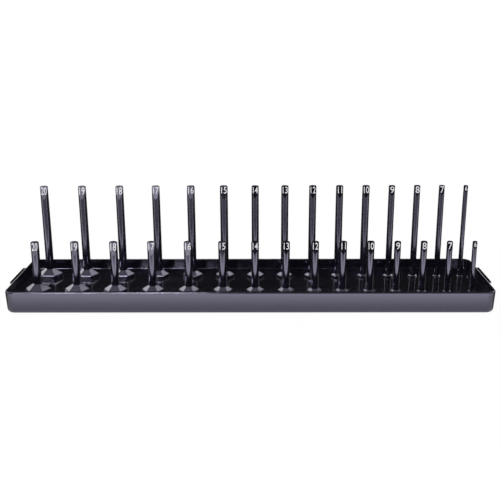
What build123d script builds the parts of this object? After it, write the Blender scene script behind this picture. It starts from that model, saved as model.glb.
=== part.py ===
"""Two-row socket tray: a shallow moulded tray that carries thirty separately moulded posts.

Each column holds one socket size, from 20 mm at the left to 6 mm at the right. The front row of
posts is short, for regular sockets, and the rear row is tall, for deep ones. Every post stands on
a hexagonal skirt that fills the socket's mouth, and plugs into the raised floor with a keyed peg.

Frame: millimetres, X along the tray (size 20 at -X), -Y is the front, +Z up. The origin is the
centre of the tray's footprint, on the plane that the tray rests on.
"""
from build123d import *
import math
import os

# --- tray shell ---------------------------------------------------------------------------
TRAY_LENGTH = 350.0          # outside, at the rim
TRAY_DEPTH = 82.5            # outside, at the rim
TRAY_HEIGHT = 16.3           # table to the inner edge of the rim
WALL = 2.5                   # front and rear walls, measured level
END_WALL = 1.5               # walls at the two ends
WALL_FLARE = 3.0             # degrees that all four walls lean outwards
CORNER_RADIUS = 6.8          # outside plan corners at the rim
FOOT_ROUND = 3.2             # rounded lower edge of the walls
FOOT_LAND = 2.2              # flat ring that the tray stands on
FLOOR_TOP = 8.8              # raised floor that the skirts seat on
FLOOR_THICKNESS = 2.2
FLOOR_ROUND = 0.3            # where the floor meets the walls
RIM_FALL = 0.15              # the top of the walls slopes down to the outside by this
RIM_FLAT = 0.2               # level part along its inner edge
RIM_ROUND = 0.8              # its outer edge

# --- end tabs -----------------------------------------------------------------------------
TAB_LENGTH = 34.5            # along Y
TAB_REACH = 1.9              # beyond the rim
TAB_HEIGHT = 1.2
TAB_DROP = 0.1               # top of the tab below the outer edge of the rim

# --- bosses and ribs under the floor ------------------------------------------------------
RIB_THICKNESS = 1.6
RIB_HEIGHT = 4.0             # one rib ties the bosses of each row together
BOSS_WALL = 1.8              # round a post's hole
BOSS_HEIGHT = 5.0            # both are measured down from the floor's underside

# --- posts --------------------------------------------------------------------------------
ROW_SPACING = 36.2           # front row to rear row
REGULAR_TOP = 47.1           # table to the top of a short post
DEEP_TOP = 80.6              # table to the top of a tall post
LEFT_MARGIN = 19.1           # rim to the first column
RIGHT_MARGIN = 12.5          # last column to rim

# Outside diameter of the socket that each column leaves room for. The values are worked back
# from the columns' places, with one equal gap between neighbours.
SOCKET_DIAMETERS = {
    20: 27.1, 19: 26.8, 18: 26.1, 17: 25.2, 16: 24.1, 15: 22.1, 14: 21.5, 13: 19.7,
    12: 18.6, 11: 18.1, 10: 17.8, 9: 17.3, 8: 16.9, 7: 16.4, 6: 15.8,
}

STEM_LARGE = 5.95            # stem diameters: sizes 15 and up
STEM_MEDIUM = 5.5            # 10 to 14
STEM_SMALL = 4.75            # 8 and 9
STEM_SEVEN = 4.3
STEM_SIX = 3.4
TOP_EDGE = 0.3               # chamfer round a stem's top

SKIRT_CLEARANCE = 0.7        # across corners, below the socket size
SKIRT_SLOPE = 32.5           # degrees that the corner lines rise towards the stem
BAND_LEAST = 0.4             # upright edge of the size 6 skirt
BAND_GROWTH = 0.17           # and what each larger size adds to it
SKIRT_ROUND_SHARE = 0.10     # rounding of its outward edges, over its radius

PEG_SHARE = 0.8              # peg diameter over stem diameter
PEG_FIT = 0.05               # radial clearance of a peg in its hole
PEG_OVERHANG = 0.6           # peg end inside the boss, short of its mouth
PEG_LEAD = 0.4               # chamfer at the peg's end
KEY_SHARE = 0.7              # distance of the peg's flat from its axis, over its radius

FACE_LEAN = 12.3             # degrees that a number face leans back from upright
FACE_SHARE = 0.7             # depth of the face at the top, over the stem's radius

# --- worked out from the above ------------------------------------------------------------
FLARE = math.tan(math.radians(WALL_FLARE))
FLOOR_UNDER = FLOOR_TOP - FLOOR_THICKNESS
POST_ROWS = {"regular": (-ROW_SPACING / 2, REGULAR_TOP), "deep": (ROW_SPACING / 2, DEEP_TOP)}


def column_places():
    """X of each column: neighbouring sockets all get the same clear gap."""
    sizes = list(SOCKET_DIAMETERS)
    steps = []
    for left, right in zip(sizes, sizes[1:]):
        steps.append((SOCKET_DIAMETERS[left] + SOCKET_DIAMETERS[right]) / 2)
    room = TRAY_LENGTH - LEFT_MARGIN - RIGHT_MARGIN
    gap = (room - sum(steps)) / len(steps)
    places = {sizes[0]: LEFT_MARGIN - TRAY_LENGTH / 2}
    for previous, size, step in zip(sizes, sizes[1:], steps):
        places[size] = places[previous] + step + gap
    return places


def stem_radius(size):
    """Stems get thinner in steps towards the small sockets."""
    if size >= 15:
        return STEM_LARGE / 2
    if size >= 10:
        return STEM_MEDIUM / 2
    if size >= 8:
        return STEM_SMALL / 2
    return STEM_SEVEN / 2 if size == 7 else STEM_SIX / 2


def skin_outline(end_inset, side_inset, level):
    """Level section of the tray's outer skin, set in from its ends and from its sides."""
    lean_in = FLARE * (TRAY_HEIGHT - level)
    return Pos(0, 0, level) * RectangleRounded(
        TRAY_LENGTH - 2 * (end_inset + lean_in),
        TRAY_DEPTH - 2 * (side_inset + lean_in),
        CORNER_RADIUS - max(end_inset, side_inset) - lean_in,
    )


def flared_block(end_inset, side_inset, low, high):
    """Solid inside the tray's outer skin, set in from its ends and its sides, between two heights."""
    outlines = [skin_outline(end_inset, side_inset, level) for level in (low, high)]
    return loft(outlines, ruled=True)


def rounded_below(block, level, radius):
    """Round the edges that lie in one level plane of a block."""
    edges = block.edges().filter_by_position(Axis.Z, level - 1e-3, level + 1e-3)
    return fillet(edges, radius)


def keyed_round(radius, low, high):
    """Upright round bar with a flat on its front side."""
    bar = Pos(0, 0, low) * Cylinder(radius, high - low, align=(Align.CENTER, Align.CENTER, Align.MIN))
    flat = Pos(0, -KEY_SHARE * radius, low) * Box(
        2 * radius, radius, high - low, align=(Align.CENTER, Align.MAX, Align.MIN)
    )
    return bar - flat


def make_tray(places):
    """Shell with a raised floor, end tabs, and a row of keyed bosses for each row of posts."""
    rim_edge = TRAY_HEIGHT - RIM_FALL
    shell = rounded_below(flared_block(0, 0, 0, rim_edge), 0, FOOT_ROUND)
    shell += loft([
        skin_outline(0, 0, rim_edge),
        skin_outline(END_WALL - RIM_FLAT, WALL - RIM_FLAT, TRAY_HEIGHT),
    ], ruled=True)
    shell = fillet(
        shell.edges().filter_by_position(Axis.Z, rim_edge - 1e-3, rim_edge + 1e-3), RIM_ROUND
    )
    recess = flared_block(END_WALL, WALL, FLOOR_TOP, TRAY_HEIGHT)
    shell -= rounded_below(recess, FLOOR_TOP, FLOOR_ROUND)

    foot_inset = FLARE * TRAY_HEIGHT + FOOT_ROUND + FOOT_LAND
    hollow = RectangleRounded(
        TRAY_LENGTH - 2 * foot_inset, TRAY_DEPTH - 2 * foot_inset, FOOT_LAND
    )
    shell -= extrude(hollow, FLOOR_UNDER)

    tab_top = rim_edge - TAB_DROP
    for side in (-1, 1):
        middle = side * (TRAY_LENGTH / 2 + (TAB_REACH - END_WALL / 2) / 2)
        shell += Pos(middle, 0, tab_top - TAB_HEIGHT / 2) * Box(
            TAB_REACH + END_WALL / 2, TAB_LENGTH, TAB_HEIGHT
        )

    first, last = min(places.values()), max(places.values())
    for row_y, _ in POST_ROWS.values():
        rib = Pos((first + last) / 2, row_y, FLOOR_UNDER) * Box(
            last - first, RIB_THICKNESS, RIB_HEIGHT, align=(Align.CENTER, Align.CENTER, Align.MAX)
        )
        shell += rib
        for size, column_x in places.items():
            peg = PEG_SHARE * stem_radius(size)
            boss = Pos(column_x, row_y, FLOOR_UNDER) * Cylinder(
                peg + BOSS_WALL, BOSS_HEIGHT, align=(Align.CENTER, Align.CENTER, Align.MAX)
            )
            shell += boss
        for size, column_x in places.items():
            peg = PEG_SHARE * stem_radius(size)
            hole = keyed_round(peg + PEG_FIT, FLOOR_UNDER - BOSS_HEIGHT, FLOOR_TOP)
            shell -= Pos(column_x, row_y, 0) * hole
    return shell


def make_post(size, top):
    """One post on its own axis: keyed peg, hexagonal skirt, round stem and slanted face."""
    radius = stem_radius(size)
    skirt_radius = (size - SKIRT_CLEARANCE) / 2
    band = BAND_LEAST + BAND_GROWTH * (size - min(SOCKET_DIAMETERS))
    skirt_top = radius / math.cos(math.radians(30))
    rise = (skirt_radius - skirt_top) * math.tan(math.radians(SKIRT_SLOPE))

    peg_end = FLOOR_UNDER - BOSS_HEIGHT + PEG_OVERHANG
    peg = keyed_round(PEG_SHARE * radius, peg_end, FLOOR_TOP)
    peg = chamfer(peg.faces().sort_by(Axis.Z)[0].edges(), PEG_LEAD)

    foot = extrude(Pos(0, 0, FLOOR_TOP) * RegularPolygon(skirt_radius, 6), band)
    skirt = foot + loft([
        Pos(0, 0, FLOOR_TOP + band) * RegularPolygon(skirt_radius, 6),
        Pos(0, 0, FLOOR_TOP + band + rise) * RegularPolygon(skirt_top, 6),
    ], ruled=True)
    outward = skirt.edges().filter_by_position(
        Axis.Z, FLOOR_TOP + band / 4, FLOOR_TOP + band + rise * 3 / 4
    )
    skirt = fillet(outward, SKIRT_ROUND_SHARE * skirt_radius)

    stem = Pos(0, 0, FLOOR_TOP) * Cylinder(
        radius, top - FLOOR_TOP, align=(Align.CENTER, Align.CENTER, Align.MIN)
    )
    stem = chamfer(stem.faces().sort_by(Axis.Z)[-1].edges(), TOP_EDGE)

    face_depth = FACE_SHARE * radius
    face_height = face_depth / math.tan(math.radians(FACE_LEAN))
    outside = -2 * radius
    wedge = Plane.YZ * make_face(Polyline(
        (outside, top - face_height),
        (-radius, top - face_height),
        (-radius + 2 * face_depth, top + face_height),
        (outside, top + face_height),
        close=True,
    ))
    stem -= extrude(wedge, radius * 2, both=True)
    return peg + skirt + stem


def main():
    os.makedirs("parts", exist_ok=True)
    places = column_places()
    export_step(make_tray(places), "parts/tray.step")
    for row, (row_y, top) in POST_ROWS.items():
        for size, column_x in places.items():
            post = Pos(column_x, row_y, 0) * make_post(size, top)
            export_step(post, f"parts/{row}_post_{size}.step")


main()
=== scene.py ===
import math

import bpy
from mathutils import Matrix, Vector


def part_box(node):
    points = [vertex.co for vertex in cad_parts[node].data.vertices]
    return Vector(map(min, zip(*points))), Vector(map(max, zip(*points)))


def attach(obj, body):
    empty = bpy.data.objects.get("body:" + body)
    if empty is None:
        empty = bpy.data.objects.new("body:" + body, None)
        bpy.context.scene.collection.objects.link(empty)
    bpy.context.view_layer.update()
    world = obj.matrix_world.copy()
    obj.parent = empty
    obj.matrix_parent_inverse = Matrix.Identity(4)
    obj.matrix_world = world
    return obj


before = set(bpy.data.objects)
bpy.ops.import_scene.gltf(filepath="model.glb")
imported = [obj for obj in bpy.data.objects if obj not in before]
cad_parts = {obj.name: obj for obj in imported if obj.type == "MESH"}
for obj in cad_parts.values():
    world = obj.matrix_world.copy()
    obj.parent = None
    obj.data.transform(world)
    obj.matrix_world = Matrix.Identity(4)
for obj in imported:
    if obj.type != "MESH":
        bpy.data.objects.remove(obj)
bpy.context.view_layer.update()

# A two-row socket tray: glossy black mouldings, with a white number on every post's slanted face.
# Metres throughout. X runs along the tray, -Y is the front, +Z is up, and the tray stands on Z = 0.

MM = 0.001
SIZES = range(20, 5, -1)
ROWS = ("regular", "deep")

# --- camera --------------------------------------------------------------------------------
IMAGE_SIZE = 500                       # pixels, each way
SENSOR_WIDTH = 36.0                    # mm
FOCAL_PIXELS = 796.0
CAMERA_PLACE = (0.0075, -0.5714, 0.2042)
CAMERA_PITCH = 16.45                   # degrees below level
CAMERA_YAW = -0.74                     # degrees towards +X
CAMERA_ROLL = 0.30                     # degrees

# --- number faces ---------------------------------------------------------------------------
FACE_LEAN = math.radians(12.3)         # back from upright
FACE_SHARE = 0.7                       # depth of the face at the top, over the stem's radius
DIGIT_HEIGHT = 5.0 * MM
TALL_DIGIT_HEIGHT = 5.6 * MM
TALL_DIGITS_FROM = 18                  # sizes from here up have the taller print
DIGIT_HEIGHT_SHARE = 1.15              # and never more than this share of the stem's diameter
DIGIT_WIDTH_SHARE = 0.69               # of the stem's diameter
SLIM_WIDTH_SHARES = {11: 0.57, 9: 0.62, 8: 0.62, 7: 0.64}   # sizes with a narrower print
DIGIT_MARGIN = 0.6 * MM                # face's top edge to the digits
DIGIT_SHIFT_SHARE = 0.07               # print to the right of the middle, over the stem's radius
NARROW_DIGIT = {6: (1.6 * MM, 3.3 * MM)}   # width and height on the thinnest stem
STROKE_SWELL = 0.006                   # strokes made wider, over the font's size
CURVE_STEPS = 4                        # points along each bend of a digit
INK_THICKNESS = 0.04 * MM
INK_PROUD = 0.03 * MM                  # of the face

# --- finishes -------------------------------------------------------------------------------
BLACK_PLASTIC = (0.0042, 0.0038, 0.0062, 1.0)
WORN_PLASTIC = (0.0068, 0.0062, 0.0096, 1.0)
VIOLET_SHEEN = (0.72, 0.66, 1.0, 1.0)
WHITE = (1.0, 1.0, 1.0, 1.0)
PAPER = (0.9, 0.9, 0.9, 1.0)
THIN_INK = (0.62, 0.62, 0.66, 1.0)
FULL_INK = (0.86, 0.86, 0.89, 1.0)
INK_ROUGHNESS = 0.45
PLASTIC_IOR = 2.2
COAT_IOR = 1.5
COAT_ROUGHNESS = 0.10
TRAY_ROUGHNESS = (0.11, 0.18)          # best and worst polished places
POST_ROUGHNESS = (0.12, 0.20)
CLOUD_SCALE = 38.0                     # noise scales, over one metre
GRAIN_SCALE = 900.0
SPECK_SCALE = 1500.0
CLOUD_WEAR = (0.35, 0.75)              # noise levels between which the colour changes,
CLOUD_POLISH = (0.3, 0.7)              # the polish,
SPECK_INK = (0.35, 0.65)               # and the ink
GRAIN_STRENGTH = 0.04
GRAIN_DEPTH = 0.02 * MM

# --- stage ----------------------------------------------------------------------------------
FLOOR_REACH = 12.0                     # half the floor's width
CLEAR_FLOOR = (0.19, 0.26)             # shadows fade out between these distances from the middle
NEAR_WHITE = 0.95                      # share of pure white that it sees next to the tray
# Painted pool of light that the floor shows in reflections, with painted shade by and under the
# tray
POOL_PEAK = 1.5                        # peak of the painted pool of light in reflections
POOL_AT_TRAY = 0.36                    # shares of the peak: next to the tray,
POOL_FAR = 0.21                        # on the camera's side of the pool,
POOL_BEHIND = 0.10                     # and under and behind the tray
POOL_FAR_EDGE = (-0.145, -0.105)       # Y between which it comes up to its peak,
POOL_NEAR_EDGE = (-0.088, -0.045)      # falls off towards the tray,
POOL_REAR_EDGE = (-0.042, -0.030)      # and falls off under the tray
BACKDROP_EDGE = (0.30, 0.40)           # Y between which the floor behind turns white
BAND_FRONT = 0.03                      # sines of the heights up to which reflections see white,
BAND_BACK = 0.17                       # on the camera's side and behind the tray
ROOM_LIGHT = 0.56                      # what the room gives to matt surfaces, and to mirrors
ROOM_MIRRORED = 0.008

# Lamps: name, place, height of the point it aims at, width and height, brightness in a mirror.
LAMPS = (
    ("back_left", (-1.40, 1.62, 1.45), 0.02, (0.9, 1.7), 1.5),
    ("back_right", (1.40, 1.62, 1.45), 0.02, (0.9, 1.7), 1.2),
    ("rim_left", (-0.343, 1.376, 1.108), 0.02, (0.7, 0.38), 0.6),
    ("top_left", (-0.43, -0.75, 1.6), 0.02, (0.56, 0.28), 36.0),
    ("overhead", (0.0, 0.0, 2.0), 0.02, (1.6, 0.8), 0.3),
    ("front_left_low", (-0.52, -1.6, 0.255), 0.05, (0.30, 0.06), 2.2),
    ("front_mid_low", (-0.25, -1.6, 0.250), 0.05, (0.22, 0.05), 4.5),
    ("front_left_high", (-0.43, -1.6, 0.445), 0.08, (0.5, 0.09), 2.4),
)


# === materials ===============================================================================

class Nodes:
    """Short calls for building one material's node tree."""

    def __init__(self, name):
        self.material = bpy.data.materials.new(name)
        self.material.use_nodes = True
        self.tree = self.material.node_tree
        self.tree.nodes.clear()
        self.output = self.tree.nodes.new("ShaderNodeOutputMaterial")

    def add(self, kind, **inputs):
        node = self.tree.nodes.new(kind)
        for name, value in inputs.items():
            self.feed(node.inputs[name.replace("_", " ")], value)
        return node

    def feed(self, socket, value):
        if isinstance(value, bpy.types.NodeSocket):
            self.tree.links.new(value, socket)
        else:
            socket.default_value = value

    def math(self, operation, a, b=0.0):
        node = self.tree.nodes.new("ShaderNodeMath")
        node.operation = operation
        self.feed(node.inputs[0], a)
        self.feed(node.inputs[1], b)
        return node.outputs[0]

    def ramp(self, value, low, high, to_low=0.0, to_high=1.0):
        node = self.add("ShaderNodeMapRange", Value=value)
        node.interpolation_type = "SMOOTHSTEP"
        node.inputs["From Min"].default_value = low
        node.inputs["From Max"].default_value = high
        node.inputs["To Min"].default_value = to_low
        node.inputs["To Max"].default_value = to_high
        return node.outputs["Result"]


def gloss_plastic(name, roughness):
    """Moulded gloss plastic under a coat: cloudy colour, patchy polish and fine grain."""
    nodes = Nodes(name)
    coordinates = nodes.add("ShaderNodeTexCoord").outputs["Object"]
    cloud = nodes.add("ShaderNodeTexNoise", Vector=coordinates, Scale=CLOUD_SCALE, Detail=5.0)
    fine = nodes.add("ShaderNodeTexNoise", Vector=coordinates, Scale=GRAIN_SCALE, Detail=3.0)
    colour = nodes.add("ShaderNodeMix")
    colour.data_type = "RGBA"
    nodes.feed(colour.inputs[0], nodes.ramp(cloud.outputs["Fac"], *CLOUD_WEAR))
    colour.inputs[6].default_value = BLACK_PLASTIC
    colour.inputs[7].default_value = WORN_PLASTIC
    rough = nodes.ramp(cloud.outputs["Fac"], *CLOUD_POLISH, *roughness)
    bump = nodes.add("ShaderNodeBump", Height=fine.outputs["Fac"])
    bump.inputs["Strength"].default_value = GRAIN_STRENGTH
    bump.inputs["Distance"].default_value = GRAIN_DEPTH
    shader = nodes.add("ShaderNodeBsdfPrincipled", Base_Color=colour.outputs[2],
                       Roughness=rough, Normal=bump.outputs["Normal"])
    shader.inputs["IOR"].default_value = PLASTIC_IOR
    shader.inputs["Specular Tint"].default_value = VIOLET_SHEEN
    shader.inputs["Coat Weight"].default_value = 1.0
    shader.inputs["Coat IOR"].default_value = COAT_IOR
    shader.inputs["Coat Roughness"].default_value = COAT_ROUGHNESS
    nodes.tree.links.new(shader.outputs[0], nodes.output.inputs["Surface"])
    return nodes.material


def number_ink():
    """Hot-stamped white: a little uneven where the foil took less well."""
    nodes = Nodes("number_ink")
    coordinates = nodes.add("ShaderNodeTexCoord").outputs["Object"]
    speck = nodes.add("ShaderNodeTexNoise", Vector=coordinates, Scale=SPECK_SCALE, Detail=4.0)
    colour = nodes.add("ShaderNodeMix")
    colour.data_type = "RGBA"
    nodes.feed(colour.inputs[0], nodes.ramp(speck.outputs["Fac"], *SPECK_INK))
    colour.inputs[6].default_value = THIN_INK
    colour.inputs[7].default_value = FULL_INK
    shader = nodes.add("ShaderNodeBsdfPrincipled", Base_Color=colour.outputs[2])
    shader.inputs["Roughness"].default_value = INK_ROUGHNESS
    nodes.tree.links.new(shader.outputs[0], nodes.output.inputs["Surface"])
    return nodes.material


def dress(node, material):
    slots = node.material_slots
    for slot in slots:
        slot.material = material
    if not slots:
        node.data.materials.append(material)


# === printed numbers =========================================================================

def stem_radius(node, centre_x, middle_z):
    """Half the width of a post above its skirt."""
    reach = 0.0
    for vertex in node.data.vertices:
        place = node.matrix_world @ vertex.co
        if place.z > middle_z:
            reach = max(reach, abs(place.x - centre_x))
    return reach


def printed_number(name, size, ink):
    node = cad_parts[name]
    low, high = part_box(name)
    centre_x = (low[0] + high[0]) / 2
    centre_y = (low[1] + high[1]) / 2
    top = high[2]
    radius = stem_radius(node, centre_x, (low[2] + top) / 2)
    height = TALL_DIGIT_HEIGHT if size >= TALL_DIGITS_FROM else DIGIT_HEIGHT
    height = min(height, DIGIT_HEIGHT_SHARE * 2 * radius)
    width = SLIM_WIDTH_SHARES.get(size, DIGIT_WIDTH_SHARE) * 2 * radius
    if size in NARROW_DIGIT:
        width, height = NARROW_DIGIT[size]

    curve = bpy.data.curves.new(f"number_{name}", "FONT")
    curve.body = str(size)
    curve.size = 1.0
    curve.offset = STROKE_SWELL
    curve.extrude = 0.5
    curve.resolution_u = CURVE_STEPS
    text = bpy.data.objects.new(f"number_{name}", curve)
    bpy.context.scene.collection.objects.link(text)
    bpy.context.view_layer.update()
    depsgraph = bpy.context.evaluated_depsgraph_get()
    mesh = bpy.data.meshes.new_from_object(text.evaluated_get(depsgraph))
    bpy.data.objects.remove(text)

    xs = [v.co.x for v in mesh.vertices]
    ys = [v.co.y for v in mesh.vertices]
    centre = Vector(((min(xs) + max(xs)) / 2, max(ys), 0))
    scale = Matrix.Diagonal((width / (max(xs) - min(xs)), height / (max(ys) - min(ys)),
                             INK_THICKNESS, 1.0))
    stand = Matrix.Rotation(math.radians(90) - FACE_LEAN, 4, "X")
    edge_y = centre_y - radius + FACE_SHARE * radius
    out = Vector((0, -math.cos(FACE_LEAN), math.sin(FACE_LEAN)))
    down = Vector((0, -math.sin(FACE_LEAN), -math.cos(FACE_LEAN)))
    place = Vector((centre_x + DIGIT_SHIFT_SHARE * radius, edge_y, top)) + down * DIGIT_MARGIN
    place += out * (INK_PROUD - INK_THICKNESS / 2)
    mesh.transform(Matrix.Translation(place) @ stand @ scale @ Matrix.Translation(-centre))
    mesh.materials.clear()
    mesh.materials.append(ink)
    piece = bpy.data.objects.new(f"number_{name}", mesh)
    bpy.context.scene.collection.objects.link(piece)
    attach(piece, "root")


# === stage ===================================================================================

def softbox(name, place, aim_height, size, glow):
    """Rectangular lamp, turned to a point over the middle of the tray. Its face shows at the
    given brightness in a mirror."""
    data = bpy.data.lights.new(name, "AREA")
    data.shape = "RECTANGLE"
    data.size, data.size_y = size
    data.energy = glow * math.pi * size[0] * size[1]
    light = bpy.data.objects.new(name, data)
    light.location = place
    direction = Vector((0, 0, aim_height)) - Vector(place)
    light.rotation_euler = direction.to_track_quat("-Z", "Y").to_euler()
    bpy.context.scene.collection.objects.link(light)


def make_floor():
    """Pale sheet. To the camera it is white, but for a faint shadow round the tray. In reflections
    it glows with a painted pool of light right across in front of the tray, painted shade next to
    and under the tray, and white far behind it."""
    mesh = bpy.data.meshes.new("floor")
    corners = [(x * FLOOR_REACH, y * FLOOR_REACH, 0)
               for x, y in ((-1, -1), (1, -1), (1, 1), (-1, 1))]
    mesh.from_pydata(corners, [], [(0, 1, 2, 3)])
    floor = bpy.data.objects.new("floor", mesh)
    bpy.context.scene.collection.objects.link(floor)
    nodes = Nodes("floor_paper")
    place = nodes.add("ShaderNodeTexCoord").outputs["Object"]
    split = nodes.add("ShaderNodeSeparateXYZ", Vector=place)
    length = nodes.add("ShaderNodeVectorMath", Vector=place)
    length.operation = "LENGTH"
    path = nodes.add("ShaderNodeLightPath")

    # Painted pool of light: glow in reflections, with painted shade by and under the tray.
    near = nodes.ramp(split.outputs["Y"], *POOL_NEAR_EDGE, 1.0, POOL_AT_TRAY)
    far = nodes.ramp(split.outputs["Y"], *POOL_FAR_EDGE, POOL_FAR, 1.0)
    behind = nodes.ramp(split.outputs["Y"], *POOL_REAR_EDGE, 1.0, POOL_BEHIND)
    pool = nodes.math("MULTIPLY", nodes.math("MULTIPLY", near, far), behind)
    pool = nodes.math("MULTIPLY", pool, POOL_PEAK)
    pool = nodes.math("MAXIMUM", pool, nodes.ramp(split.outputs["Y"], *BACKDROP_EDGE))

    white = nodes.ramp(length.outputs["Value"], *CLEAR_FLOOR, NEAR_WHITE, 1.0)
    diffuse = nodes.add("ShaderNodeBsdfDiffuse", Color=PAPER)
    glow = nodes.add("ShaderNodeEmission", Color=WHITE, Strength=1.0)
    painted_pool_glow = nodes.add("ShaderNodeEmission", Color=WHITE, Strength=pool)
    white = nodes.math("MULTIPLY", path.outputs["Is Camera Ray"], white)
    seen = nodes.add("ShaderNodeMixShader", Fac=white)
    nodes.tree.links.new(diffuse.outputs[0], seen.inputs[1])
    nodes.tree.links.new(glow.outputs[0], seen.inputs[2])
    mix = nodes.add("ShaderNodeMixShader", Fac=path.outputs["Is Glossy Ray"])
    nodes.tree.links.new(seen.outputs[0], mix.inputs[1])
    nodes.tree.links.new(painted_pool_glow.outputs[0], mix.inputs[2])
    nodes.tree.links.new(mix.outputs[0], nodes.output.inputs["Surface"])
    mesh.materials.append(nodes.material)


def make_world():
    """White to the camera. Reflections see white up to a low height, greater behind the tray than
    in front of it, and a dark room above. Matt surfaces are lit by a grey room."""
    world = bpy.data.worlds.new("studio")
    bpy.context.scene.world = world
    world.use_nodes = True
    tree = world.node_tree
    tree.nodes.clear()

    def maths(operation, a, b):
        node = tree.nodes.new("ShaderNodeMath")
        node.operation = operation
        for socket, value in zip(node.inputs, (a, b)):
            if isinstance(value, bpy.types.NodeSocket):
                tree.links.new(value, socket)
            else:
                socket.default_value = value
        return node.outputs[0]

    def light(grey):
        node = tree.nodes.new("ShaderNodeBackground")
        node.inputs["Color"].default_value = WHITE
        node.inputs["Strength"].default_value = grey
        return node.outputs[0]

    def blend(factor, first, second):
        node = tree.nodes.new("ShaderNodeMixShader")
        tree.links.new(factor, node.inputs[0])
        tree.links.new(first, node.inputs[1])
        tree.links.new(second, node.inputs[2])
        return node.outputs[0]

    path = tree.nodes.new("ShaderNodeLightPath").outputs
    direction = tree.nodes.new("ShaderNodeTexCoord").outputs["Generated"]
    split = tree.nodes.new("ShaderNodeSeparateXYZ")
    tree.links.new(direction, split.inputs["Vector"])
    behind = maths("GREATER_THAN", split.outputs["Y"], 0.0)
    band = maths("ADD", BAND_FRONT, maths("MULTIPLY", behind, BAND_BACK - BAND_FRONT))
    low = maths("LESS_THAN", split.outputs["Z"], band)
    through = maths("MAXIMUM", path["Is Camera Ray"], path["Is Transmission Ray"])
    seen = maths("MAXIMUM", through, maths("MULTIPLY", path["Is Glossy Ray"], low))
    room = blend(path["Is Glossy Ray"], light(ROOM_LIGHT), light(ROOM_MIRRORED))
    output = tree.nodes.new("ShaderNodeOutputWorld")
    tree.links.new(blend(seen, room, light(1.0)), output.inputs["Surface"])


def make_camera():
    """Camera that looks along +Y, pitched down, with a little yaw and roll."""
    pitch = math.radians(CAMERA_PITCH)
    yaw = math.radians(CAMERA_YAW)
    roll = math.radians(CAMERA_ROLL)
    level = math.cos(pitch)
    forward = Vector((math.sin(yaw) * level, math.cos(yaw) * level, -math.sin(pitch)))
    right = Vector((math.cos(yaw), -math.sin(yaw), 0.0))
    down = forward.cross(right)
    right, down = (math.cos(roll) * right + math.sin(roll) * down,
                   math.cos(roll) * down - math.sin(roll) * right)
    turn = Matrix((right, -down, -forward)).transposed().to_4x4()
    data = bpy.data.cameras.new("camera")
    data.sensor_width = SENSOR_WIDTH
    data.lens = FOCAL_PIXELS * SENSOR_WIDTH / IMAGE_SIZE
    camera = bpy.data.objects.new("camera", data)
    camera.matrix_world = Matrix.Translation(CAMERA_PLACE) @ turn
    bpy.context.scene.collection.objects.link(camera)
    bpy.context.scene.camera = camera


# === the whole scene =========================================================================

tray_finish = gloss_plastic("tray_plastic", TRAY_ROUGHNESS)
post_finish = gloss_plastic("post_plastic", POST_ROUGHNESS)
ink = number_ink()

dress(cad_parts["tray"], tray_finish)
for row in ROWS:
    for size in SIZES:
        name = f"{row}_post_{size}"
        dress(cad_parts[name], post_finish)
        printed_number(name, size, ink)

make_floor()
make_world()
for lamp in LAMPS:
    softbox(*lamp)
make_camera()
bpy.context.scene.view_settings.view_transform = "Standard"
